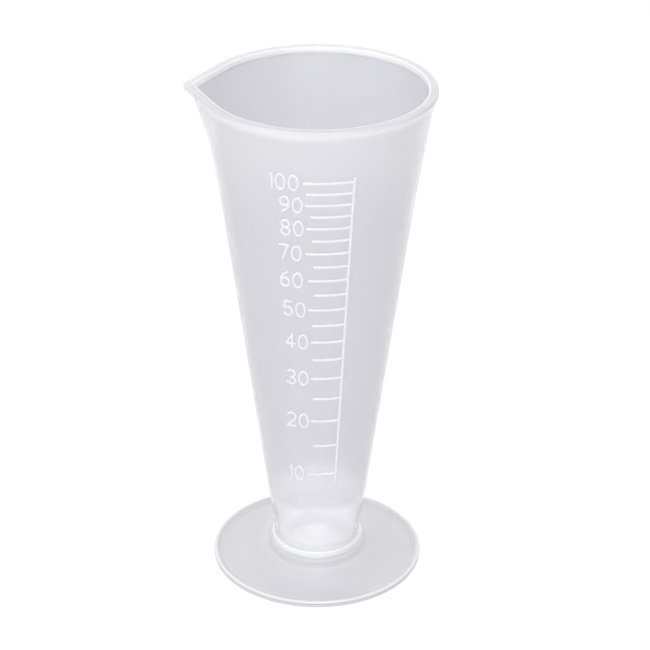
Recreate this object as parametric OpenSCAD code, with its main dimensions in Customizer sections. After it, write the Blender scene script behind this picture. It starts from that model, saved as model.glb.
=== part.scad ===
// A conical measure of 100 ml: a tapered cup with a flanged rim and a pouring spout,
// standing in the socket of a wide, hollow foot. The raised scale is on the outside.
// Millimetres. Z is up, the table is z = 0, and the cup's axis is the Z axis.
// The spout points along -X and the scale faces -Y.

/* [Cup] */
// Height from the table to the top of the rim
overall_h = 127; // [120:1:140]
// Outer diameter of the cone at the level of the rim
mouth_d = 53.4; // [52:0.2:60]
// Outer diameter of the cone's lower end, down in the foot's socket
end_d = 20; // [19:0.2:26]
// Height of the cone's lower end above the table
end_z = 2.4; // [2:0.1:3.4]
// Thickness of the wall at the rim
rim_wall = 1.2; // [0.9:0.05:1.6]
// Thickness of the wall at the floor
floor_wall = 0.8; // [0.6:0.05:1.2]
// Height of the inside floor above the table
floor_z = 6.2; // [5.8:0.1:9]
// Thickness of the floor, and of the skirt that goes on below it
floor_t = 1.2; // [0.8:0.1:1.8]
// Radius of the fillet round the inside floor
floor_fillet = 1.2; // [0.4:0.1:2]
// Diameter of the gate pad under the middle of the floor
gate_d = 7; // [4:0.5:10]
// Thickness of the gate pad
gate_t = 0.5; // [0.3:0.1:1]

/* [Rim] */
// How much thicker the wall gets under the flange
rim_swell_t = 0.6; // [0:0.1:1]
// Height that the wall takes to get thicker
rim_swell_h = 26; // [16:1:40]
// How far the flange of the rim stands out from the thickened wall
rim_overhang = 0.5; // [0.3:0.1:2]
// Thickness of the flange
rim_t = 1.35; // [1:0.05:2.5]
// Radius of the flange's rounded edges
rim_edge_r = 0.4; // [0.2:0.05:0.5]

/* [Spout] */
// How far the spout's keel stands out from the wall at the rim
spout_reach = 2.8; // [2:0.1:5]
// How far below the top of the rim the spout starts
spout_h = 22; // [14:1:34]
// Radius of the spout's rounded keel
spout_r = 0.9; // [0.6:0.1:1.4]
// How the keel leaves the wall: 1 is straight, more is a softer start
spout_ease = 1.45; // [1:0.05:2]
// How far the flange's tip stands out from the rim
lip_reach = 3.4; // [2.5:0.1:6]
// Radius of the flange's tip
lip_r = 2; // [1:0.1:3]

/* [Scale] */
// Smallest volume with a line, in millilitres
scale_first = 10; // [5:5:20]
// Largest volume with a line, in millilitres
scale_last = 100; // [60:10:100]
// Volume between two lines, in millilitres
scale_step = 5; // [5:5:10]
// Volume between two long lines, in millilitres
scale_major = 10; // [10:10:20]
// Width of the scale's lines
line_w = 0.6; // [0.4:0.05:1]
// How far the lines stand out from the wall
line_relief = 0.3; // [0.15:0.05:0.6]
// Turn from the front of the cup to the scale's upright line, in degrees
spine_turn = 22; // [10:0.5:35]
// Turn that a long line covers, in degrees
major_turn = 26; // [20:0.5:45]
// Turn that a short line covers, in degrees
minor_turn = 22.5; // [10:0.5:45]
// How far the upright line runs up past the last line
spine_over = 0.9; // [0:0.1:3]
// How far the upright line runs down past the first line
spine_under = 3; // [0:0.1:5]

/* [Foot] */
// Outer diameter of the foot
foot_d = 52.6; // [46:0.2:64]
// Height of the foot's rounded edge
foot_edge_h = 1.5; // [1.2:0.1:3]
// Width of the foot's edge, from side to side
foot_edge_w = 1.2; // [1:0.1:2.5]
// Radius of the edge's rounded corners
foot_edge_r = 0.45; // [0.2:0.05:0.5]
// How far the foot's top lies below the top of its edge
foot_step = 0.2; // [0.1:0.05:0.5]
// Thickness of the foot's flared plate
foot_t = 1.1; // [0.8:0.05:1.6]

/* [Socket] */
// Depth of the socket that the cup's lower end stands in
socket_depth = 3.9; // [3:0.1:6]
// Thickness of the collar round the socket
collar_t = 0.95; // [0.7:0.05:2]
// Radius of the collar's rounded top corner
collar_r = 0.4; // [0.2:0.05:0.6]
// How far the collar stands up from the foot's top
collar_rise = 1.3; // [0.6:0.1:2.2]
// How far the ledge reaches in under the cup's lower end
ledge_w = 1.9; // [1.3:0.1:4]
// Thickness of the ledge
ledge_t = 1; // [0.7:0.1:1.6]
// Clearance all round between the cup and its socket
socket_gap = 0.05; // [0.02:0.01:0.15]

/* [Hidden] */
$fn = 128;
hull_fn = 32;
mm3_per_ml = 1000;
eps = 0.01;
plastic = [0.88, 0.88, 0.91];
scale_white = [0.96, 0.96, 0.98];

// The cone's outside and inside radius at a height z, and the outside with the swell under the rim
taper = (mouth_d - end_d) / 2 / (overall_h - end_z);
wall_taper = (rim_wall - floor_wall) / (overall_h - floor_z);
swell_z = overall_h - rim_swell_h;
function outside(z) = end_d / 2 + (z - end_z) * taper;
function inside(z) = outside(z) - floor_wall - (z - floor_z) * wall_taper;
function swell(z) = rim_swell_t * max(z - swell_z, 0) / rim_swell_h;
function swollen(z) = outside(z) + swell(z);

// The height that a volume of so many millilitres fills the cup to, from the volume of a frustum
inner_taper = taper - wall_taper;
floor_r = inside(floor_z);
function level(ml) =
    floor_z + (pow(pow(floor_r, 3) + 3 * inner_taper * ml * mm3_per_ml / PI, 1 / 3) - floor_r) / inner_taper;

// A bar in a profile, from radius r0 to r1, whose two outer corners are rounded
module rounded_bar(r0, r1, z0, z1, corner) {
    translate([r0, z0]) square([r1 - corner - r0, z1 - z0]);
    translate([r1 - corner - eps, z0 + corner]) square([corner + eps, z1 - z0 - 2 * corner]);
    for (z = [z0 + corner, z1 - corner])
        translate([r1 - corner, z]) circle(corner);
}

// Cup

wall_slope = sqrt(1 + inner_taper * inner_taper);
fillet_r = floor_r + inner_taper * floor_fillet - floor_fillet * wall_slope;
floor_under = floor_z - floor_t;
rim_r = swollen(overall_h) + rim_overhang;
rim_corner = min(rim_edge_r, rim_t / 2 - eps);

module floor_fillet_profile() {
    difference() {
        polygon([
            [fillet_r, floor_z],
            [floor_r + eps, floor_z],
            [fillet_r + floor_fillet / wall_slope + eps,
             floor_z + floor_fillet * (1 - inner_taper / wall_slope)],
            [fillet_r, floor_z + floor_fillet],
        ]);
        translate([fillet_r, floor_z + floor_fillet]) circle(floor_fillet);
    }
}

module cup_profile() {
    polygon([
        [0, floor_under],
        [outside(floor_under) - floor_t, floor_under],
        [outside(end_z) - floor_t, end_z],
        [outside(end_z), end_z],
        [outside(swell_z), swell_z],
        [swollen(overall_h), overall_h],
        [inside(overall_h), overall_h],
        [floor_r, floor_z],
        [0, floor_z],
    ]);
    floor_fillet_profile();
    rounded_bar(outside(overall_h) - rim_wall / 2, rim_r, overall_h - rim_t, overall_h, rim_corner);
}

// The spout is three flat-sided slices, each of which leaves the wall where its sides touch it.
// The keel stands out by keel(z). Sides that touch a circle of radius r leave it at side_turn, for
// a tip of radius tip_r that stands out from the circle by reach.
spout_z = overall_h - spout_h;
spout_slices = 3;
over_rim = 1;
side_sink = 0.12;
lip_side_r = 1;
function spout_share(z) = (z - spout_z) / spout_h;
function keel(z) = spout_reach * pow(max(spout_share(z), 0), spout_ease);
function side_turn(r, tip_r, reach) = acos((r - tip_r) / (r + reach - tip_r));
function slice_z(i) = spout_z + spout_h * i / spout_slices;

// The outline of the spout: a round tip and the two places where its sides leave the circle
module spout_outline(r, tip_r, reach, thin) {
    turn = side_turn(r, tip_r, reach);
    translate([-(r + reach - tip_r), 0, 0]) circle(tip_r, $fn = hull_fn);
    for (side = [-1, 1])
        rotate(180 + side * turn) translate([r - side_sink - thin, 0, 0]) circle(thin, $fn = hull_fn);
}

module spout_slab(z, r, tip_r, reach, thin) {
    translate([0, 0, z - eps]) linear_extrude(eps) spout_outline(r, tip_r, reach, thin);
}

module spout_outside() {
    for (i = [0 : spout_slices - 1])
        hull()
            for (z = [slice_z(i), slice_z(i + 1)])
                spout_slab(z, swollen(z), spout_r, keel(z), floor_wall / 3);
}

module spout_inside() {
    for (i = [0 : spout_slices - 1])
        hull()
            for (z = [slice_z(i), slice_z(i + 1) + (i == spout_slices - 1 ? over_rim : 0)])
                spout_slab(z, inside(z), spout_r / 3, keel(z) + swell(z), spout_r / 3);
}

module lip_disc(r) {
    rotate_extrude($fn = hull_fn) rounded_bar(0, r, overall_h - rim_t, overall_h, rim_corner);
}

// The flange runs on round the spout
module lip() {
    turn = side_turn(rim_r, lip_r, lip_reach);
    hull() {
        translate([-(rim_r + lip_reach - lip_r), 0, 0]) lip_disc(lip_r);
        for (side = [-1, 1])
            rotate(180 + side * turn) translate([rim_r - side_sink - lip_side_r, 0, 0]) lip_disc(lip_side_r);
    }
}

module mouth_space() {
    z0 = spout_z - over_rim;
    z1 = overall_h + over_rim;
    translate([0, 0, z0]) cylinder(h = z1 - z0, r1 = inside(z0), r2 = inside(z1));
}

module cup() {
    color(plastic) difference() {
        union() {
            rotate_extrude() cup_profile();
            difference() {
                union() {
                    spout_outside();
                    lip();
                }
                mouth_space();
            }
            translate([0, 0, floor_under - gate_t]) cylinder(h = gate_t + eps, d = gate_d);
        }
        spout_inside();
    }
}

// Foot

socket_top = end_z + socket_depth;
collar_outer = outside(socket_top) + socket_gap + collar_t;
ledge_inner = outside(end_z) - ledge_w;
foot_r = foot_d / 2;
edge_inner = foot_r - foot_edge_w;
edge_corner = min(foot_edge_r, foot_edge_h / 2 - eps);
plate_z = foot_edge_h - foot_step;
crown_z = socket_top - collar_rise;

// The plate's top is an arc, level at the foot's edge and rising to the collar
flare_run = edge_inner - collar_outer;
flare_rise = crown_z - plate_z;
flare_r = (flare_run * flare_run + flare_rise * flare_rise) / (2 * flare_rise);
flare_z = plate_z + flare_r;

module plate_profile() {
    difference() {
        intersection() {
            translate([collar_outer - eps, 0]) square([flare_run + 2 * eps, flare_z]);
            translate([edge_inner, flare_z]) circle(flare_r + foot_t, $fn = 4 * $fn);
        }
        translate([edge_inner, flare_z]) circle(flare_r, $fn = 4 * $fn);
    }
}

module socket_profile() {
    difference() {
        rounded_bar(ledge_inner, collar_outer, end_z - ledge_t, socket_top, collar_r);
        polygon([
            [0, end_z],
            [outside(end_z) + socket_gap, end_z],
            [outside(socket_top + eps) + socket_gap, socket_top + eps],
            [0, socket_top + eps],
        ]);
    }
}

module foot() {
    color(plastic) rotate_extrude() {
        rounded_bar(edge_inner, foot_r, 0, foot_edge_h, edge_corner);
        plate_profile();
        socket_profile();
    }
}

// Scale

module scale_skin() {
    z0 = level(scale_first) - spine_under - line_w;
    z1 = level(scale_last) + spine_over + line_w;
    rotate_extrude() polygon([
        [swollen(z0), z0],
        [swollen(z0) + line_relief, z0],
        [swollen(swell_z) + line_relief, swell_z],
        [swollen(z1) + line_relief, z1],
        [swollen(z1), z1],
        [swollen(swell_z), swell_z],
    ]);
}

// A sector that cuts one line out of the skin: it ends at the upright line and runs round to the left
module line_cutter(ml) {
    turn = ml % scale_major == 0 ? major_turn : minor_turn;
    translate([0, 0, level(ml) - line_w / 2])
        rotate_extrude(angle = turn, start = spine_turn - turn - 90)
            translate([end_d / 4, 0]) square([mouth_d / 2, line_w]);
}

module spine_cutter() {
    z0 = level(scale_first) - spine_under;
    z1 = level(scale_last) + spine_over;
    rotate(spine_turn - 90) translate([0, -line_w / 2, z0]) cube([mouth_d, line_w, z1 - z0]);
}

module graduation_lines() {
    color(scale_white) intersection() {
        scale_skin();
        union() {
            for (ml = [scale_first : scale_step : scale_last])
                line_cutter(ml);
            spine_cutter();
        }
    }
}

cup();
foot();
graduation_lines();
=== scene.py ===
# %% [markdown]
# A plastic liquid measure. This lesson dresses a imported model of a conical 100 ml measure: a
# see-through cup with a pouring spout and a raised scale, standing in a wide foot. The packed
# model is the frame. It says where every piece sits and how big it is, and everything made here
# takes its place and size from it.

# %% Load the frame
import math

import bpy
from mathutils import Euler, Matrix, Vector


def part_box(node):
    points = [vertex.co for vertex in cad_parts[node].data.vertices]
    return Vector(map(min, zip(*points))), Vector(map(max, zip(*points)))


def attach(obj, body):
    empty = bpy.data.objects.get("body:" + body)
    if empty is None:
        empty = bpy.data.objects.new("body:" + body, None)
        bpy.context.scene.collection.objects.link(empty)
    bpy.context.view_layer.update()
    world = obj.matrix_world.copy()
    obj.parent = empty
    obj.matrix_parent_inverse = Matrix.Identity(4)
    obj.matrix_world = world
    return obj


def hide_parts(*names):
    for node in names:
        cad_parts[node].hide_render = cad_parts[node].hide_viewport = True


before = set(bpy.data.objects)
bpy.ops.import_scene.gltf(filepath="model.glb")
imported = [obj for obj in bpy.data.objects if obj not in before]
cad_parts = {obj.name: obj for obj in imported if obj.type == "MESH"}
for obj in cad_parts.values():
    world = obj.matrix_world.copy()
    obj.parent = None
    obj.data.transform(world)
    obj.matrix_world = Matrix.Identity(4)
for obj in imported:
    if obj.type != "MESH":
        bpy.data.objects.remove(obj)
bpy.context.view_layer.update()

# %% [markdown]
# The measurements. A maker's drawing gives sizes in millimetres and Blender works in metres, so
# one factor turns the first into the second. The heights and radii that the frame knows are read
# from it. The rest, such as a wall's thickness, can't be read from a box, so they are written
# here once, as on the drawing. A name that ends in R is a radius, in Z a height above the table,
# in H or W a height or width of its own, and in T a thickness.

# %% Sizes
MM = 0.001
cup_low, cup_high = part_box("cup")
foot_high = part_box("foot")[1]

TOP_Z = cup_high.z / MM
END_Z = cup_low.z / MM
RIM_R = cup_high.y / MM
TIP_R = -cup_low.x / MM
FOOT_R = foot_high.y / MM
COLLAR_Z = foot_high.z / MM

RIM_OVERHANG = 0.5
RIM_T = 1.35
SWELL_T = 0.6
SWELL_H = 26
END_R = 10.0
FLOOR_Z = 6.2
FLOOR_T = 1.2
FLOOR_WALL = 0.8
RIM_WALL = 1.2
TAPER = (RIM_R - RIM_OVERHANG - SWELL_T - END_R) / (TOP_Z - END_Z)
WALL_TAPER = (RIM_WALL - FLOOR_WALL) / (TOP_Z - FLOOR_Z)


def swell(z):
    """How much thicker the wall is at a height, under the rim."""
    return SWELL_T * max(z - TOP_Z + SWELL_H, 0) / SWELL_H


def outside(z):
    """Radius of the wall's outer face at a height."""
    return END_R + (z - END_Z) * TAPER + swell(z)


def inside(z):
    """Radius of the wall's inner face at a height."""
    return END_R + (z - END_Z) * TAPER - FLOOR_WALL - (z - FLOOR_Z) * WALL_TAPER


print(f"The cup is {TOP_Z:.1f} mm high and {2 * RIM_R:.1f} mm wide, the foot {2 * FOOT_R:.1f} mm")

# %% [markdown]
# The camera stands where the picture was taken from: a little over half a metre away, looking down
# at the measure by about 28 degrees with a long lens. A long lens from further off keeps the
# cone's sides nearly straight, as they are in the picture. It stands three degrees to the right of
# the front, so the spout's tip points a little away. The other small turns level the picture.

# %% Camera
CAMERA_AWAY = 0.4836
CAMERA_UP = 0.3190
CAMERA_DOWN = math.radians(27.72)
CAMERA_ROUND = math.radians(3)
CAMERA_ASIDE = math.radians(-0.21)
CAMERA_TILT = math.radians(0.276)
SENSOR_MM = 36
LENS_MM = 124.4
NEAREST_SEEN = 0.01

camera = bpy.data.objects.new("camera", bpy.data.cameras.new("camera"))
bpy.context.scene.collection.objects.link(camera)
bpy.context.scene.camera = camera
camera.location = (
    CAMERA_AWAY * math.sin(CAMERA_ROUND),
    -CAMERA_AWAY * math.cos(CAMERA_ROUND),
    CAMERA_UP,
)
camera.rotation_euler = Euler((math.pi / 2 - CAMERA_DOWN, 0, CAMERA_ROUND + CAMERA_ASIDE))
camera.rotation_euler.rotate_axis("Z", CAMERA_TILT)
camera.data.sensor_width = SENSOR_MM
camera.data.lens = LENS_MM
camera.data.clip_start = NEAREST_SEEN
print(f"The camera is {math.hypot(CAMERA_AWAY, CAMERA_UP):.3f} m from the middle of the foot")

# %% [markdown]
# Colours are written as the hex values that a picture editor shows. Blender's shaders work in
# linear light, so one function turns the first into the second. Another adds a node: it sets the
# node's own options, then gives each input either a number or a link. A third empties a node
# tree, so that each look starts from nothing.

# %% Colour and node helpers
WHITE = "#FFFFFF"


def linear(code):
    """An sRGB hex colour as the linear colour that shaders want."""
    channels = [int(code[i : i + 2], 16) / 255 for i in (1, 3, 5)]
    return [c / 12.92 if c <= 0.04045 else ((c + 0.055) / 1.055) ** 2.4 for c in channels] + [1]


def add_node(tree, kind, inputs=None, **options):
    """Adds a node with its options, and sets or links its inputs, by name or number."""
    node = tree.nodes.new(kind)
    for name, value in options.items():
        setattr(node, name, value)
    for name, value in (inputs or {}).items():
        if isinstance(value, bpy.types.NodeSocket):
            tree.links.new(value, node.inputs[name])
        else:
            node.inputs[name].default_value = value
    return node


def empty_tree(holder):
    """The node tree of a material or a world, with nothing in it."""
    holder.use_nodes = True
    holder.node_tree.nodes.clear()
    return holder.node_tree


# %% [markdown]
# The plastic. The measure is moulded in natural polypropylene, with no colour added. It is milky
# and lets light through, since it is full of crystals too small to see. To the eye, a thin wall
# of it is a cool grey haze, and a thick part such as the rim turns white. One shader does both:
# glass that is a little rough, mixed with a matt colour. Each mesh carries two numbers on its
# points: milk, how much of the light the plastic scatters, and thick, how far its colour goes
# from the thin wall's grey to white. On the cup the two numbers also hold painted shade and
# painted light, where the cup's plastics say so.
#
# A polished mould gives a smooth, glossy skin. Its gloss varies in faint clouds, drawn out
# upwards the way the plastic flowed. To a lamp's rays clear glass is a wall, so the shader lets
# them through with hardly a loss, and light reaches the inside as it does in the real measure.

# %% Natural polypropylene
PP_IOR = 1.49
SMOOTHEST, ROUGHEST = 0.08, 0.12
CLOUD_W, CLOUD_H = 9, 45  # the clouds' size in millimetres, across and upwards
LET_THROUGH = "#FAFAFA"


def polypropylene(name, thin_colour, thick_colour):
    """Natural polypropylene, moulded: hazy where it is thin and white where it is thick."""
    material = bpy.data.materials.new(name)
    tree = empty_tree(material)
    place = add_node(tree, "ShaderNodeTexCoord")
    milk = add_node(tree, "ShaderNodeAttribute", attribute_name="milk")
    thick = add_node(tree, "ShaderNodeAttribute", attribute_name="thick")
    across, up = 1 / (CLOUD_W * MM), 1 / (CLOUD_H * MM)
    drawn = add_node(
        tree,
        "ShaderNodeMapping",
        {"Vector": place.outputs["Object"], "Scale": (across, across, up)},
    )
    clouds = add_node(
        tree, "ShaderNodeTexNoise", {"Vector": drawn.outputs["Vector"], "Scale": 1, "Detail": 2}
    )
    tint = add_node(
        tree,
        "ShaderNodeMix",
        {0: thick.outputs["Fac"], 6: linear(thin_colour), 7: linear(thick_colour)},
        data_type="RGBA",
    )
    clear = add_node(
        tree,
        "ShaderNodeMapRange",
        {"Value": milk.outputs["Fac"], "To Min": 1.0, "To Max": 0.0},
    )
    rough = add_node(
        tree,
        "ShaderNodeMapRange",
        {
            "Value": clouds.outputs["Fac"],
            "From Min": 0.3,
            "From Max": 0.7,
            "To Min": SMOOTHEST,
            "To Max": ROUGHEST,
        },
    )
    plastic = add_node(
        tree,
        "ShaderNodeBsdfPrincipled",
        {
            "Base Color": tint.outputs[2],
            "Roughness": rough.outputs["Result"],
            "IOR": PP_IOR,
            "Transmission Weight": clear.outputs["Result"],
        },
    )
    path = add_node(tree, "ShaderNodeLightPath")
    lamplight = add_node(tree, "ShaderNodeBsdfTransparent", {"Color": linear(LET_THROUGH)})
    both = add_node(
        tree,
        "ShaderNodeMixShader",
        {
            0: path.outputs["Is Shadow Ray"],
            1: plastic.outputs["BSDF"],
            2: lamplight.outputs["BSDF"],
        },
    )
    add_node(tree, "ShaderNodeOutputMaterial", {"Surface": both.outputs["Shader"]})
    return material


# The cup's thin wall is a cool grey haze. Its thick parts are white, and so is the neck, where the
# white is painted light.
cup_plastic = polypropylene("natural polypropylene, moulded thin", "#D1D0D7", "#FAFAFC")
# The foot's greyest plastic is a touch paler than the cup's.
foot_plastic = polypropylene("natural polypropylene, moulded foot", "#D9D8DD", "#FAFAFB")
# The raised marks are milkier than the wall, so they stand out from it, nearly white.
scale_plastic = polypropylene("natural polypropylene, raised marks", "#F0EFF3", "#F0EFF3")
print("Three plastics:", ", ".join(m.name for m in (cup_plastic, foot_plastic, scale_plastic)))

# %% [markdown]
# The cup is a turned shape with a beak. It could be a lathe curve with a beak pulled out of it by
# hand, but a formula is cleaner: the wall's profile is a list of stations, each a radius at a
# height, and every station is swept round the axis. Near the spout, the circle that a station
# would draw is swapped for one whose sides run straight off to a small round tip. Because the
# sides leave the circle as tangents, the beak grows out of the cone with no crease. The flange
# has a beak of its own, a little longer and blunter, which is the lip.

# %% The spout's outline
SPOUT_REACH = 2.8
SPOUT_H = 22
SPOUT_R = 0.9
SPOUT_INNER_R = SPOUT_R / 3
SPOUT_EASE = 1.45
LIP_REACH = TIP_R - RIM_R
LIP_R = 2.0
SPOUT_Z = TOP_Z - SPOUT_H


def keel(z):
    """How far the spout's tip stands out from the wall at a height."""
    share = min(max((z - SPOUT_Z) / SPOUT_H, 0), 1)
    return SPOUT_REACH * share**SPOUT_EASE


def spouted(r, tip, reach, angle):
    """Radius, at an angle from the spout, of a circle with straight sides to a round tip."""
    angle = abs(angle)
    centre = r + reach - tip
    turn = math.acos(min((r - tip) / centre, 1))
    if angle >= turn:
        return r
    tip_turn = math.atan2(tip * math.sin(turn), centre + tip * math.cos(turn))
    if angle >= tip_turn:
        return r / math.cos(turn - angle)
    return centre * math.cos(angle) + math.sqrt(tip**2 - (centre * math.sin(angle)) ** 2)


print(f"The spout starts {SPOUT_Z:.0f} mm up, and its lip stands out by {LIP_REACH:.1f} mm")

# %% [markdown]
# Meshes by hand. A sweep joins each ring of points to the next with four-cornered faces. The order
# of the corners matters with clear plastic: seen from outside they must run anticlockwise, or
# Blender takes the air for plastic and the light bends the wrong way. The rings' points stand
# close together at the spout, where the outline turns sharply, and wider apart behind it.

# %% Sweep a profile round the axis
FAN = ((0, 0.3, 8), (2.4, 0.8, 42), (36, 1.6, 90))  # first angle and gap in degrees, how many


def blend(one, two, share):
    """A plastic between two others. A plastic is its milk and its thick number."""
    return tuple(a + (b - a) * share for a, b in zip(one, two))


def shown_mesh(name, points, faces, plastics):
    """A smooth object from points in metres and faces, with each point's milk and thick numbers."""
    mesh = bpy.data.meshes.new(name)
    mesh.from_pydata(points, [], faces)
    for number, values in zip(("milk", "thick"), zip(*plastics)):
        mesh.attributes.new(number, "FLOAT", "POINT").data.foreach_set("value", values)
    mesh.shade_smooth()
    made = bpy.data.objects.new(name, mesh)
    bpy.context.scene.collection.objects.link(made)
    return made


def angles_round():
    """Angles once round the axis, from the spout."""
    half = [first + gap * k for first, gap, count in FAN for k in range(count)]
    return [math.radians(a) for a in half + [180] + [-a for a in half[:0:-1]]]


def swept(name, stations, closed=False):
    """A mesh through stations (radius, height, tip, reach, plastic), swept round the Z axis.

    A station of no radius is one point on the axis. A closed profile joins its end to its start.
    """
    angles = angles_round()
    points, plastics, rings = [], [], []
    for r, z, tip, reach, plastic in stations:
        if r == 0:
            rings.append([len(points)] * len(angles))
            points.append((0, 0, z * MM))
            plastics.append(plastic)
            continue
        rings.append([len(points) + k for k in range(len(angles))])
        for angle in angles:
            out = (spouted(r, tip, reach, angle) if reach else r) * MM
            points.append((-out * math.cos(angle), -out * math.sin(angle), z * MM))
            plastics.append(plastic)
    faces = []
    for one, two in list(zip(rings, rings[1:])) + ([(rings[-1], rings[0])] if closed else []):
        for k in range(len(angles)):
            n = (k + 1) % len(angles)
            face = [one[k], two[k], two[n], one[n]]
            faces.append([p for i, p in enumerate(face) if p not in face[:i]])
    return shown_mesh(name, points, faces, plastics)


def arc(r, z, radius, start, end, steps=6):
    """Points on an arc about (r, z), from one angle to another in degrees."""
    turns = [math.radians(start + (end - start) * k / steps) for k in range(steps + 1)]
    return [(r + radius * math.cos(t), z + radius * math.sin(t)) for t in turns]


def spread(start, end, gap):
    """Evenly spaced values from start to end, about a gap apart, both ends left out."""
    count = max(1, round(abs(end - start) / gap))
    return [start + (end - start) * k / count for k in range(1, count)]


print(f"Each ring has {len(angles_round())} points")

# %% [markdown]
# How milky the cup is from place to place. Each plastic is a pair: its milk, then its thick
# number. The outside of the wall scatters about a third of the light. The inside scatters less,
# and its grey is painted shade, so the mouth, which shows the inside, looks darker than the
# front. The neck's wall is painted whiter, outside and, lower down, inside: painted light, for
# the glow that scattered light gives the neck. The floor, the rim and the collar are thick and
# scatter most of the light. At the rim's inner corner the plastic is pure white, partly for the
# thick rim and partly as a painted highlight where the corner catches the light. The middle of
# the floor, where the plastic entered the mould, is solid white. The faces underneath stay nearly
# clear, so that light gets through them.
#
# The plastic changes gently along the wall, so a soft ramp blends each pair into the next.

# %% The cup's plastics
# The rim's inner corner: white for the thick rim, and a painted highlight.
RIM_WHITE_AND_GLINT = (1.0, 1.0)
# The inside's grey is painted shade, which darkens the mouth.
INSIDE_PAINTED_SHADE = (0.2, 0.0)
CLEAR = (0.05, 1.0)
HIDDEN = (0.05, 1.0)
WALL = (0.36, 0.84)
WALL_TOP = (0.42, 1.0)
# The neck's whiter plastic, outside and inside, is painted light.
NECK_PAINTED_LIGHT = (0.32, 1.0)
NECK_INSIDE_PAINTED_LIGHT = (0.75, 1.0)
FLOOR = (0.8, 0.5)
SPOT = (1.0, 1.0)
FILLET = (0.9, 1.0)
COLLAR = (0.9, 0.82)
FLANGE = (0.75, 0.6)
FLANGE_SIDE = (0.85, 0.74)

# Where the plastic changes on the wall, and over what height it fades.
NECK_Z, NECK_FADE = 16.5, 4
LOW_Z, LOW_FADE = 9.5, 3.5
TOP_FADE = 30
COLLAR_WHITE_H = 0.4
EDGE_FADE = 1.5
# How far below the top the rim's white and painted highlight reach, and their fade.
RIM_GLINT_H, RIM_GLINT_FADE = 0.9, 0.8


def fade(distance, length):
    """1 at no distance, and 0 at the length and beyond, with soft ends."""
    share = min(max(1 - distance / length, 0), 1)
    return share * share * (3 - 2 * share)


def wall_outside(z):
    """The outer face's plastic: whiter at the neck as painted light, and at the collar; milkier
    under the rim.
    """
    plastic = blend(WALL, NECK_PAINTED_LIGHT, fade(z - NECK_Z, NECK_FADE))
    plastic = blend(plastic, WALL_TOP, fade(TOP_Z - z, TOP_FADE))
    plastic = blend(plastic, FLANGE_SIDE, fade(TOP_Z - RIM_T - z, EDGE_FADE))
    return blend(plastic, COLLAR, fade(z - COLLAR_Z - COLLAR_WHITE_H, EDGE_FADE))


def wall_inside(z):
    """The inner face: painted-shade grey, nearly clear in the neck, painted-light white at floor
    and rim.
    """
    plastic = blend(INSIDE_PAINTED_SHADE, CLEAR, fade(z - NECK_Z, NECK_FADE))
    plastic = blend(plastic, NECK_INSIDE_PAINTED_LIGHT, fade(z - LOW_Z, LOW_FADE))
    return blend(plastic, RIM_WHITE_AND_GLINT, fade(TOP_Z - RIM_GLINT_H - z, RIM_GLINT_FADE))


for z in (COLLAR_Z, 60, TOP_Z - RIM_T):
    print(f"At {z:.0f} mm the outer face scatters {wall_outside(z)[0]:.0%} of the light")

# %% [markdown]
# The cup's profile runs from the middle of the floor up the inside, over the rim, down the
# outside to the skirt that stands in the foot, and back under the floor. The stations are close
# together where the outline bends or the plastic changes, and far apart on the plain cone.

# %% Cup profile: the inside and the rim
FLOOR_FILLET = 1.2
RIM_CORNER = 0.4
INNER_CORNER = 0.3
SPOT_R, SPOT_EDGE_R = 2.5, 3.3
FLOOR_SHARE = 0.9
CONE_Z = 30
RIM_FINE_H = 3
NECK_GAP, CONE_GAP, SPOUT_GAP, RIM_GAP = 1, 5, 0.8, 0.3


def inner_wall():
    """Stations up the inside, from the middle of the floor to the rim's inner corner."""
    slope = math.hypot(1, TAPER - WALL_TAPER)
    fillet_r = inside(FLOOR_Z) + (TAPER - WALL_TAPER) * FLOOR_FILLET - FLOOR_FILLET * slope
    tilt = math.degrees(math.atan(TAPER - WALL_TAPER))
    stations = [(r, FLOOR_Z, 0, 0, SPOT) for r in (0, SPOT_R)]
    stations += [(r, FLOOR_Z, 0, 0, FLOOR) for r in (SPOT_EDGE_R, fillet_r * FLOOR_SHARE)]
    for r, z in arc(fillet_r, FLOOR_Z + FLOOR_FILLET, FLOOR_FILLET, -90, -tilt):
        stations.append((r, z, 0, 0, FILLET))
    low, fine = FLOOR_Z + FLOOR_FILLET, TOP_Z - RIM_FINE_H
    heights = spread(low, CONE_Z, NECK_GAP) + [CONE_Z]
    heights += spread(CONE_Z, SPOUT_Z, CONE_GAP) + [SPOUT_Z]
    heights += spread(SPOUT_Z, fine, SPOUT_GAP) + [fine]
    heights += spread(fine, TOP_Z - INNER_CORNER, RIM_GAP)
    for z in heights:
        reach = keel(z) + swell(z) if z > SPOUT_Z else 0
        stations.append((inside(z), z, SPOUT_INNER_R, reach, wall_inside(z)))
    return stations


def rim():
    """Stations over the rim: inner corner, top, rounded outer edge and underside."""
    mouth, reach = inside(TOP_Z), keel(TOP_Z) + swell(TOP_Z)
    stations = []
    # The inner corner is pure white: the thick rim, with a painted highlight on it.
    for r, z in arc(mouth + INNER_CORNER, TOP_Z - INNER_CORNER, INNER_CORNER, 180, 90, 4):
        stations.append((r, z, SPOUT_INNER_R + r - mouth, reach, RIM_WHITE_AND_GLINT))
    top_r, edge = mouth + 2 * INNER_CORNER, RIM_R - RIM_CORNER
    stations.append((top_r, TOP_Z, SPOUT_INNER_R + top_r - mouth, reach, FLANGE))
    for r, z in arc(edge, TOP_Z - RIM_CORNER, RIM_CORNER, 90, 0, 5):
        stations.append((r, z, LIP_R - (RIM_R - r), LIP_REACH, FLANGE))
    for r, z in arc(edge, TOP_Z - RIM_T + RIM_CORNER, RIM_CORNER, 0, -90, 5):
        stations.append((r, z, LIP_R - (RIM_R - r), LIP_REACH, FLANGE_SIDE))
    return stations


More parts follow.
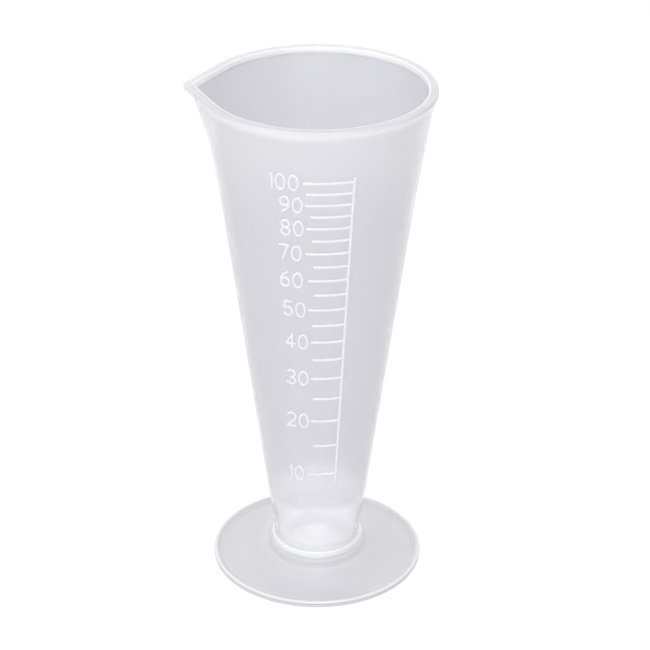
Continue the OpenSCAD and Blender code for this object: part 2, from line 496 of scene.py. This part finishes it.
# %% [markdown]
# The outside runs down the cone to a short skirt below the floor, which stands in the foot's
# socket. Under the floor, a small round pad is left where the plastic entered the mould.

# %% Cup profile: the outside and the underside
GATE_R = 3.5
GATE_T = 0.5
ROUNDING = 0.3


def outer_wall():
    """Stations down the outside, from under the rim to the end in the foot's socket."""
    under = TOP_Z - RIM_T
    wall = outside(under)
    stations = []
    for r, z in arc(wall + ROUNDING / 2, under - ROUNDING / 2, ROUNDING / 2, 90, 180, 4):
        stations.append((r, z, SPOUT_R + r - wall, keel(under), FLANGE_SIDE))
    top = under - ROUNDING
    heights = [top] + spread(top, SPOUT_Z, SPOUT_GAP) + [SPOUT_Z]
    heights += spread(SPOUT_Z, CONE_Z, CONE_GAP) + [CONE_Z]
    heights += spread(CONE_Z, COLLAR_Z, NECK_GAP) + [COLLAR_Z]
    for z in heights:
        stations.append((outside(z), z, SPOUT_R, keel(z), wall_outside(z)))
    for r, z in arc(END_R - ROUNDING, END_Z + ROUNDING, ROUNDING, 0, -90, 4):
        stations.append((r, z, 0, 0, HIDDEN))
    return stations


def underside():
    """Stations up inside the skirt and in to the gate pad under the middle of the floor."""
    skirt = END_R - FLOOR_T
    under = FLOOR_Z - FLOOR_T
    skirt_top = outside(under) - FLOOR_T
    half = ROUNDING / 2
    points = arc(skirt + ROUNDING, END_Z + ROUNDING, ROUNDING, -90, -180, 4)
    points += arc(skirt_top - ROUNDING, under - ROUNDING, ROUNDING, 0, 90, 4)
    points += arc(GATE_R + ROUNDING, under - ROUNDING, ROUNDING, 90, 180, 4)
    points += arc(GATE_R - half, under - GATE_T + half, half, 0, -90, 4)
    points.append((0, under - GATE_T))
    return [(r, z, 0, 0, HIDDEN) for r, z in points]


cup = swept("cup_shell", inner_wall() + rim() + outer_wall() + underside())
print(f"The cup's shell has {len(cup.data.polygons)} faces")

# %% [markdown]
# The foot is a plain turned ring, so the same sweep makes it, with no spout. Its top rises from
# the edge to the collar in one slow arc. It is hollow underneath, which saves plastic and lets the
# measure stand on a narrow ring that doesn't rock. In its middle is a socket for the cup's end,
# with the collar round it and a ledge below, and there the two are welded. The plate and the
# edge's side are the greyest, and the collar and the top of the edge are whiter.

# %% The foot's sizes and plastics
COLLAR_T = 0.95
COLLAR_CORNER = 0.4
COLLAR_RISE = 1.3
LEDGE_W = 1.9
LEDGE_T = 1.0
SOCKET_GAP = 0.05
EDGE_H = 1.5
EDGE_W = 1.2
EDGE_CORNER = 0.45
EDGE_STEP = 0.2
EDGE_CHAMFER = 0.1
PLATE_T = 1.1

COLLAR_R = outside(COLLAR_Z) + SOCKET_GAP + COLLAR_T
LEDGE_R = END_R - LEDGE_W
EDGE_R = FOOT_R - EDGE_W
PLATE_Z = EDGE_H - EDGE_STEP
plate_run, plate_rise = EDGE_R - COLLAR_R, COLLAR_Z - COLLAR_RISE - PLATE_Z
FLARE_R = (plate_run**2 + plate_rise**2) / (2 * plate_rise)

PLATE = (0.6, 0.0)
PLATE_ENDS = (0.8, 0.1)
BELOW = (0.05, 0.0)
SOCKET = (0.05, 1.0)
RING = (1.0, 0.65)
EDGE_SIDE = (0.6, 0.0)
EDGE_TOP = (0.85, 0.8)
COLLAR_FADE = 4
PLATE_GAP, BELOW_GAP = 0.4, 1.2
BEND_LIFT, BEND_START, BEND_STEPS = 1.2, -100, 4


def plate(flare, r):
    """Height of the plate at a radius, on an arc of a flare's radius about the top's centre."""
    return PLATE_Z + FLARE_R - math.sqrt(flare**2 - (EDGE_R - r) ** 2)


print(f"The foot's plate rises by {plate_rise:.1f} mm, on an arc of {FLARE_R:.0f} mm")

# %% [markdown]
# The foot's profile goes once round its section: out below, round the edge and back in above. It
# ends where it started, so the sweep joins the two ends. The sweep takes it backwards, because
# only then do the faces look outwards, as the cup's do.

# %% Foot profile


def foot_below():
    """The profile from the ledge down round the socket, and out under the plate to the table."""
    lowest, under = END_Z - LEDGE_T, FLARE_R + PLATE_T
    points = [(LEDGE_R, END_Z - ROUNDING), (LEDGE_R, lowest + ROUNDING)]
    points.append((LEDGE_R + ROUNDING, lowest))
    points += arc(COLLAR_R - COLLAR_CORNER, lowest + COLLAR_CORNER, COLLAR_CORNER, -90, 0, 4)
    points.append((COLLAR_R, plate(under, COLLAR_R) - ROUNDING))
    start = COLLAR_R + ROUNDING
    for r in [start] + spread(start, EDGE_R, BELOW_GAP) + [EDGE_R]:
        points.append((r, plate(under, r)))
    points += [(EDGE_R, EDGE_CHAMFER), (EDGE_R + EDGE_CHAMFER, 0)]
    return [(r, z, SOCKET if r <= COLLAR_R else BELOW) for r, z in points]


def foot_edge():
    """The profile round the outer edge, from the table up and in to the plate."""
    middle = FOOT_R - EDGE_CORNER
    stations = [(r, z, EDGE_SIDE) for r, z in arc(middle, EDGE_CORNER, EDGE_CORNER, -90, 0, 5)]
    for r, z in arc(middle, EDGE_H - EDGE_CORNER, EDGE_CORNER, 0, 90, 5):
        share = (z - EDGE_H + EDGE_CORNER) / EDGE_CORNER
        stations.append((r, z, blend(EDGE_SIDE, EDGE_TOP, share)))
    for r, z in arc(EDGE_R + EDGE_STEP, EDGE_H - EDGE_STEP, EDGE_STEP, 90, 180, 4):
        stations.append((r, z, PLATE_ENDS))
    return stations


def foot_above():
    """The profile in along the plate, up the collar and down into the socket."""
    bend_r, stations = COLLAR_R + ROUNDING, []
    for r in spread(EDGE_R, bend_r, PLATE_GAP):
        near = max(fade(EDGE_R - r, EDGE_FADE), fade(r - bend_r, COLLAR_FADE))
        stations.append((r, plate(FLARE_R, r), blend(PLATE, PLATE_ENDS, near)))
    bend_z = plate(FLARE_R, COLLAR_R) + BEND_LIFT * ROUNDING
    for k, (r, z) in enumerate(arc(bend_r, bend_z, ROUNDING, BEND_START, -180, BEND_STEPS)):
        stations.append((r, z, blend(PLATE_ENDS, RING, k / BEND_STEPS)))
    for r, z in arc(COLLAR_R - COLLAR_CORNER, COLLAR_Z - COLLAR_CORNER, COLLAR_CORNER, 0, 90, 5):
        stations.append((r, z, RING))
    stations.append((outside(COLLAR_Z) - SOCKET_GAP, COLLAR_Z, RING))
    stations += [(r, END_Z, SOCKET) for r in (END_R - SOCKET_GAP, LEDGE_R + ROUNDING)]
    return stations


profile = foot_below() + foot_edge() + foot_above()
stations = [(r, z, 0, 0, plastic) for r, z, plastic in reversed(profile)]
foot = swept("foot_shell", stations, closed=True)
print(f"The foot's shell has {len(foot.data.polygons)} faces")

# %% [markdown]
# The scale is moulded in one with the cup: a mould maker cuts the lines and the figures into the
# mould with a ball-nosed cutter, so on the cup they stand out as half-round ridges with round
# ends. A picture of them could be laid on the wall, but real ridges catch the light. Each line
# stands where the cup holds its volume. The volume of a cone's slice gives that height.
#
# On the right the lines all end in one upright line, the spine. On the left the long lines, which
# carry a figure, reach further than the short ones. Some start a little early or late, as on a
# mould cut by hand, and those are listed one by one.

# %% Where the lines stand
ML = 1000.0
LOWEST_ML, HIGHEST_ML, LINE_ML, FIGURE_ML = 10, 100, 5, 10
SPINE_TURN = math.radians(22)
SPINE_OVER = 0.9
SPINE_UNDER = 3.0
SPINE_GAP = 2
LONG_END, SHORT_END = -1.5, 0.0
UNEVEN_ENDS = {
    100: -1.9,
    95: -1.1,
    85: -0.25,
    80: -1.2,
    65: 0.35,
    60: -0.9,
    55: 0.45,
    50: -0.9,
    40: -0.4,
    30: -0.4,
    20: -0.4,
    10: -1.4,
}


def level(ml):
    """Height that so many millilitres fill the cup to."""
    slope = TAPER - WALL_TAPER
    floor_r = inside(FLOOR_Z)
    return FLOOR_Z + ((floor_r**3 + 3 * slope * ml * ML / math.pi) ** (1 / 3) - floor_r) / slope


def on_wall(x, z, out=0.0):
    """The point x mm round to the right of the cup's front, z mm up and out mm off its wall."""
    r = outside(z)
    return ((r + out) * math.sin(x / r) * MM, -(r + out) * math.cos(x / r) * MM, z * MM)


def left_end(ml):
    """Where a line ends on the left, in mm from the front. Long lines mark the figures."""
    return UNEVEN_ENDS.get(ml, LONG_END if ml % FIGURE_ML == 0 else SHORT_END)


for ml in (10, 50, 100):
    print(f"The {ml} ml line stands {level(ml):.1f} mm above the table")

# %% [markdown]
# One function makes every ridge. It walks along a path on the wall, and at each step draws a
# half-round section across it. At both ends the section shrinks, which makes the round ends that
# the ball-nosed cutter leaves. A ridge's flat side is sunk a little into the wall, so that no
# gap shows under it. The marks are thick and stand proud, so their plastic is nearly all white.

# %% Ridges on the wall
MARKS = (0.9, 1.0)
LINE_W = 0.7
LINE_RELIEF = 0.3
SUNK = 0.04
ACROSS = 7
START_TURNS, END_TURNS = (-85, -60, -30, 0), (0, 30, 60, 85)


def finely(path, gap=0.5):
    """The same path with points no more than a gap apart."""
    fine = [path[0]]
    for (x0, z0), (x1, z1) in zip(path, path[1:]):
        count = max(1, math.ceil(math.hypot(x1 - x0, z1 - z0) / gap))
        for k in range(1, count + 1):
            fine.append((x0 + (x1 - x0) * k / count, z0 + (z1 - z0) * k / count))
    return fine


def steps_along(path, half):
    """Sections of a ridge along a path: the middle, the way along and the size, 1 in full."""
    steps, last = [], len(path) - 1
    for k, (x, z) in enumerate(path):
        (x0, z0), (x1, z1) = path[max(k - 1, 0)], path[min(k + 1, last)]
        length = math.hypot(x1 - x0, z1 - z0)
        along = ((x1 - x0) / length, (z1 - z0) / length)
        turns = START_TURNS if k == 0 else END_TURNS if k == last else (0,)
        for turn in turns:
            push, size = half * math.sin(math.radians(turn)), math.cos(math.radians(turn))
            steps.append((x + along[0] * push, z + along[1] * push, along, size))
    return steps


def add_ridge(points, faces, path, width=LINE_W):
    """Adds a half-round ridge along a path of (x, z) on the wall."""
    half = width / 2
    steps = steps_along(finely(path), half)
    start, end = len(points), len(points) + (len(steps) - 1) * ACROSS
    for x, z, along, size in steps:
        for j in range(ACROSS):
            t = math.pi * j / (ACROSS - 1)
            side = half * size * math.cos(t)
            out = LINE_RELIEF * size * math.sin(t) - SUNK
            points.append(on_wall(x - along[1] * side, z + along[0] * side, out))
    for ring in range(start, end, ACROSS):
        for j in range(ACROSS):
            a, d = ring + j, ring + (j + 1) % ACROSS
            faces.append((a, d, d + ACROSS, a + ACROSS))
    faces.append(tuple(start + j for j in range(ACROSS - 1, -1, -1)))
    faces.append(tuple(end + j for j in range(ACROSS)))


points, faces = [], []
for ml in range(LOWEST_ML, HIGHEST_ML + 1, LINE_ML):
    z = level(ml)
    add_ridge(points, faces, [(left_end(ml), z), (outside(z) * SPINE_TURN, z)])
low, high = level(LOWEST_ML) - SPINE_UNDER, level(HIGHEST_ML) + SPINE_OVER
heights = [low] + spread(low, high, SPINE_GAP) + [high]
add_ridge(points, faces, [(outside(z) * SPINE_TURN, z) for z in heights])
scale_lines = shown_mesh("scale_lines", points, faces, [MARKS] * len(points))
print(f"The scale's lines have {len(faces)} faces")

# %% [markdown]
# The figures are plain and round-ended, as an engraver's template gives. Each is one or more
# strokes of points and arcs, in millimetres from the figure's left side and its middle. A Blender
# text could give them too, but its strokes are flat-topped and would have to be bent round the
# cone. Every number stands to the left of its line, some a little nearer or further.

# %% Figures
FIGURE_H = 3.9
FIGURE_W = 2.1
ONE_W = 0.6
FIGURE_GAP = 0.95
FIGURE_STROKE = 0.6
LINE_GAP = 0.35
UNEVEN_NUMBERS = {100: -0.35, 90: 0.15, 70: -0.2, 60: -0.6, 10: -0.25}
top, wide = FIGURE_H / 2, FIGURE_W
middle = wide / 2


def bend(x, z, rx, rz, start, end, steps=14):
    """Points on part of an oval, from one angle to another in degrees."""
    turns = [math.radians(start + (end - start) * k / steps) for k in range(steps + 1)]
    return [(x + rx * math.cos(t), z + rz * math.sin(t)) for t in turns]


six = [[(wide * 0.8, top)] + bend(wide * 0.95, -top * 0.2, wide * 0.95, top * 1.15, 108, 178, 8)]
six.append(bend(middle, -top * 0.42, middle, top * 0.58, 0, 360, 20))
FIGURES = {
    "0": [bend(middle, 0, middle, top, 0, 360, 24)],
    "1": [[(0, top * 0.6), (ONE_W, top)], [(ONE_W, top), (ONE_W, -top)]],
    "2": [
        bend(middle, top * 0.42, middle, top * 0.58, 160, -35) + [(0, -top)],
        [(0, -top), (wide, -top)],
    ],
    "3": [
        bend(middle, top * 0.5, middle * 0.95, top * 0.5, 150, -90),
        bend(middle, -top * 0.48, middle, top * 0.52, 90, -150),
    ],
    "4": [
        [(wide * 0.7, -top), (wide * 0.7, top)],
        [(wide * 0.7, top), (0, -top * 0.4)],
        [(0, -top * 0.4), (wide, -top * 0.4)],
    ],
    "5": [
        [(wide * 0.92, top), (wide * 0.15, top)],
        [(wide * 0.15, top), (wide * 0.08, top * 0.12)],
        bend(middle * 0.96, -top * 0.38, middle, top * 0.62, 135, -150),
    ],
    "6": six,
    "7": [[(0, top), (wide, top)], [(wide, top), (wide * 0.35, -top)]],
    "8": [
        bend(middle, top * 0.5, middle * 0.86, top * 0.5, 0, 360, 20),
        bend(middle, -top * 0.5, middle, top * 0.5, 0, 360, 20),
    ],
    "9": [[(wide - x, -z) for x, z in stroke] for stroke in six],
}


def figure_width(figure):
    """Width of a figure between the middles of its outer strokes."""
    return ONE_W if figure == "1" else FIGURE_W


points, faces = [], []
for ml in range(LOWEST_ML, HIGHEST_ML + 1, FIGURE_ML):
    figures = str(ml)
    long = sum(figure_width(f) for f in figures) + FIGURE_GAP * (len(figures) - 1)
    x = left_end(ml) + UNEVEN_NUMBERS.get(ml, 0) - LINE_W / 2 - LINE_GAP - FIGURE_STROKE / 2 - long
    for figure in figures:
        for stroke in FIGURES[figure]:
            add_ridge(points, faces, [(x + px, level(ml) + pz) for px, pz in stroke], FIGURE_STROKE)
        x += figure_width(figure) + FIGURE_GAP
scale_numbers = shown_mesh("scale_numbers", points, faces, [MARKS] * len(points))
print(f"The figures have {len(faces)} faces")

# %% [markdown]
# Now every piece gets its plastic and rides on the frame's one body. Three pieces stand for the
# frame's own solids. The numbers stand for none, and take their finish from the scale's lines.

# %% Dress the frame
for piece, node, material in (
    (cup, "cup", cup_plastic),
    (foot, "foot", foot_plastic),
    (scale_lines, "graduation_lines", scale_plastic),
):
    piece.data.materials.append(material)
    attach(piece, "root")
    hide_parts(node)
    print(f"{piece.name} stands for {node}")
scale_numbers.data.materials.append(scale_plastic)
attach(scale_numbers, "root")

# %% [markdown]
# The surrounding is a plain studio. To the camera, in a reflection and through the plastic it is
# pure white. What it sheds on the measure is a little over half of that, so that the pale plastic
# keeps its colour and doesn't clip to white.

# %% The surrounding
SKY_LIGHT = 0.55
scene = bpy.context.scene
scene.view_settings.view_transform = "Standard"


def seen_directly(tree):
    """1 for rays from the camera, in a reflection or through plastic, and 0 for the light."""
    path = add_node(tree, "ShaderNodeLightPath")
    seen = path.outputs["Is Camera Ray"]
    for kind in ("Is Glossy Ray", "Is Transmission Ray"):
        inputs = {0: seen, 1: path.outputs[kind]}
        seen = add_node(tree, "ShaderNodeMath", inputs, operation="MAXIMUM").outputs[0]
    return seen


world = bpy.data.worlds.new("studio")
scene.world = world
tree = empty_tree(world)
light = add_node(tree, "ShaderNodeBackground", {"Color": linear(WHITE), "Strength": SKY_LIGHT})
white = add_node(tree, "ShaderNodeBackground", {"Color": linear(WHITE), "Strength": 1.0})
sky = add_node(
    tree,
    "ShaderNodeMixShader",
    {0: seen_directly(tree), 1: light.outputs[0], 2: white.outputs[0]},
)
add_node(tree, "ShaderNodeOutputWorld", {"Surface": sky.outputs[0]})
print(f"The surrounding looks white and sheds {SKY_LIGHT:.0%} of a white sky's light")

# %% [markdown]
# The measure stands on white paper, which is matt and shows no highlight. Paper alone would look
# grey beside the pure white surrounding, so seven tenths of what is seen of it is an even glow.
# The rest is plain paper, and carries the shadow at the foot. The glow lights nothing: only what
# is seen directly gets it.

# %% The paper
PAPER_SIZE = 3.0
PAPER_COLOUR = "#F4F4F4"
GLOW_SHARE = 0.7
GLOW = 1.12

half = PAPER_SIZE / 2
corners = [(-half, -half, 0), (half, -half, 0), (half, half, 0), (-half, half, 0)]
floor_mesh = bpy.data.meshes.new("floor")
floor_mesh.from_pydata(corners, [], [(0, 1, 2, 3)])
floor = bpy.data.objects.new("floor", floor_mesh)
scene.collection.objects.link(floor)
paper = bpy.data.materials.new("white paper, matt")
tree = empty_tree(paper)
share = add_node(
    tree, "ShaderNodeMath", {0: seen_directly(tree), 1: GLOW_SHARE}, operation="MULTIPLY"
)
matt = add_node(tree, "ShaderNodeBsdfDiffuse", {"Color": linear(PAPER_COLOUR)})
glow = add_node(tree, "ShaderNodeEmission", {"Color": linear(WHITE), "Strength": GLOW})
mix = add_node(
    tree,
    "ShaderNodeMixShader",
    {0: share.outputs[0], 1: matt.outputs[0], 2: glow.outputs[0]},
)
add_node(tree, "ShaderNodeOutputMaterial", {"Surface": mix.outputs[0]})
floor.data.materials.append(paper)
print(f"The paper is {PAPER_SIZE:.0f} m wide")

# %% [markdown]
# Four soft lamps light the measure, at a level at which a colour looks about as it is written.
# They are large for their distance, so their highlights are broad and their shadows soft. The
# key lamp stands high to the left, and the front lamp low before the measure. A wide one behind
# brings out the far edges, and a small one overhead lights the rim and the floor of the cup.

# %% Lamps


def softbox(name, place, wide, high, watts):
    """A lamp of a width and a height, in metres, that faces the middle of the measure."""
    lamp = bpy.data.objects.new(name, bpy.data.lights.new(name, "AREA"))
    scene.collection.objects.link(lamp)
    lamp.data.shape = "RECTANGLE"
    lamp.data.size, lamp.data.size_y = wide, high
    lamp.data.energy = watts
    lamp.location = place
    aim = -lamp.location
    aim.z += TOP_Z * MM / 2
    lamp.rotation_euler = aim.to_track_quat("-Z", "Y").to_euler()
    print(f"The {name} lamp gives {watts} W")


softbox("key", (-0.8, -0.6, 0.8), 1.0, 1.0, 4.0)
softbox("front", (0.2, -1.1, 0.35), 1.0, 1.0, 5.4)
softbox("back", (0.1, 1.3, 0.5), 2.4, 1.2, 2.2)
softbox("overhead", (0, 0, 1.2), 0.5, 0.5, 2.4)
